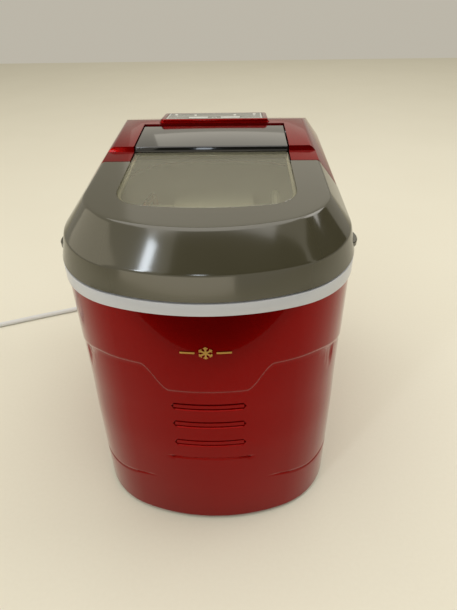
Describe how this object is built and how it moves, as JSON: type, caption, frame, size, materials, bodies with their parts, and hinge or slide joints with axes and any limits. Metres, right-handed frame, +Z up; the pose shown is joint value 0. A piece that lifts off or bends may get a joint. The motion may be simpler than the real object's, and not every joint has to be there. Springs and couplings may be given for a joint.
{
  "type": "counter-top ice maker",
  "caption": "Counter-top ice maker: red rounded cabinet, smoked hinged lid with window, rear control pod, inner tank with basket, tilting tray and cooling works.",
  "frame": {"origin": "on the floor, under the middle of the cabinet's box (cord left out)", "axes": "+Z up, +Y from the front with the window to the rear with the control pod, +X to the right seen from the front"},
  "size_m": [0.6505, 0.4256, 0.3286],
  "materials": {
    "red_metallic": "metallic red lacquer on moulded plastic, high gloss",
    "ring_white": "pale grey-white moulded plastic, satin gloss",
    "smoked_lid": "smoked bronze-grey plastic, high gloss",
    "smoked_window": "clearer smoked plastic, polished",
    "gloss_black": "black plastic, high gloss",
    "black_plastic": "black moulded plastic, fine texture",
    "rubber_black": "black rubber, matt",
    "panel_grey": "grey glossy overlay",
    "key_white": "pale satin plastic",
    "lamp_lens": "milky lens",
    "badge_gold": "gold foil, satin",
    "inner_white": "food-safe white plastic, satin",
    "clear_basket": "translucent white plastic",
    "bright_metal": "nickel-plated, satin",
    "steel": "zinc-plated steel",
    "compressor_black": "black enamel",
    "copper": "drawn copper tube",
    "board_green": "solder resist",
    "hose_clear": "silicone hose",
    "cord_grey": "grey-white PVC sheath, satin"
  },
  "bodies": {
    "cabinet": {"body_shell": "red_metallic", "rear_panel": "red_metallic", "base_pan": "black_plastic", "trim_ring": "ring_white", "foot_front_left": "rubber_black", "foot_rear_left": "rubber_black", "foot_front_right": "rubber_black", "foot_rear_right": "rubber_black", "front_badge": "badge_gold", "rear_top_cover": "red_metallic", "hinge_pin_left": "steel", "hinge_pin_right": "steel", "hinge_bracket_left": "black_plastic", "hinge_bracket_right": "black_plastic", "control_pod": "red_metallic", "control_panel": "panel_grey", "lamp_make": "lamp_lens", "lamp_full": "lamp_lens", "lamp_water": "lamp_lens", "lamp_power": "lamp_lens", "control_board": "board_green", "inner_tank": "inner_white", "inner_deck": "inner_white", "evaporator": "bright_metal", "evaporator_bracket": "inner_white", "tray_motor": "black_plastic", "ice_sensor_left": "black_plastic", "ice_sensor_right": "black_plastic", "drain_spout": "hose_clear", "water_pump": "black_plastic", "pump_cover": "inner_white", "water_hose": "hose_clear", "compressor": "compressor_black", "compressor_mount_1": "rubber_black", "compressor_mount_2": "rubber_black", "compressor_mount_3": "rubber_black", "condenser": "bright_metal", "fan_shroud": "black_plastic", "fan_motor": "steel", "discharge_pipe": "copper", "suction_pipe": "copper", "filter_drier": "copper", "main_board": "board_green", "cord_strain_relief": "cord_grey", "power_cord": "cord_grey", "cord_coil": "cord_grey", "cord_tail": "cord_grey", "power_plug": "cord_grey"},
    "lid": {"lid_shell": "smoked_lid", "lid_window": "smoked_window", "lid_tongue_cap": "gloss_black"},
    "power_key": {"power_button": "key_white"},
    "select_key": {"select_button": "key_white"},
    "tray": {"water_tray": "inner_white"},
    "shovel": {"ice_shovel": "inner_white"},
    "basket": {"ice_basket": "clear_basket"},
    "impeller": {"pump_impeller": "inner_white"},
    "fan": {"fan_blade": "black_plastic"},
    "plug_cap": {"drain_plug": "rubber_black"},
    "float": {"level_float": "inner_white"}
  },
  "joints": [
    {"name": "lid_hinge", "type": "hinge", "parent": "cabinet", "child": "lid", "pos_m": [0, 0.046, 0.316], "axis": [-1, 0, 0], "range_deg": [0, 90]},
    {"name": "power_press", "type": "slide", "parent": "cabinet", "child": "power_key", "axis": [0, -0.0872, -0.9962], "range_m": [0, 0.001], "stiffness_N_per_m": 400, "springref_m": -0.001},
    {"name": "select_press", "type": "slide", "parent": "cabinet", "child": "select_key", "axis": [0, -0.0872, -0.9962], "range_m": [0, 0.001], "stiffness_N_per_m": 400, "springref_m": -0.001},
    {"name": "tray_tilt", "type": "hinge", "parent": "cabinet", "child": "tray", "pos_m": [0, -0.03, 0.206], "axis": [-1, 0, 0], "range_deg": [0, 60]},
    {"name": "shovel_slide", "type": "slide", "parent": "cabinet", "child": "shovel", "axis": [0, -1, 0], "range_m": [0, 0.02]},
    {"name": "basket_lift", "type": "slide", "parent": "cabinet", "child": "basket", "axis": [0, 0, 1], "range_m": [0, 0.024]},
    {"name": "impeller_spin", "type": "hinge", "parent": "cabinet", "child": "impeller", "pos_m": [0.062, 0.045, 0.03], "axis": [0, 0, 1], "continuous": true},
    {"name": "fan_spin", "type": "hinge", "parent": "cabinet", "child": "fan", "pos_m": [0.035, 0.125, 0.09], "axis": [0, 1, 0], "continuous": true},
    {"name": "drain_plug_pull", "type": "slide", "parent": "cabinet", "child": "plug_cap", "axis": [1, 0, 0], "range_m": [0, 0.012]},
    {"name": "float_rise", "type": "slide", "parent": "cabinet", "child": "float", "axis": [0, 0, 1], "range_m": [0, 0.02]}
  ],
  "couplings": [
    {"joint": "shovel_slide", "follows": "tray_tilt", "m_per_rad": 0.019}
  ]
}
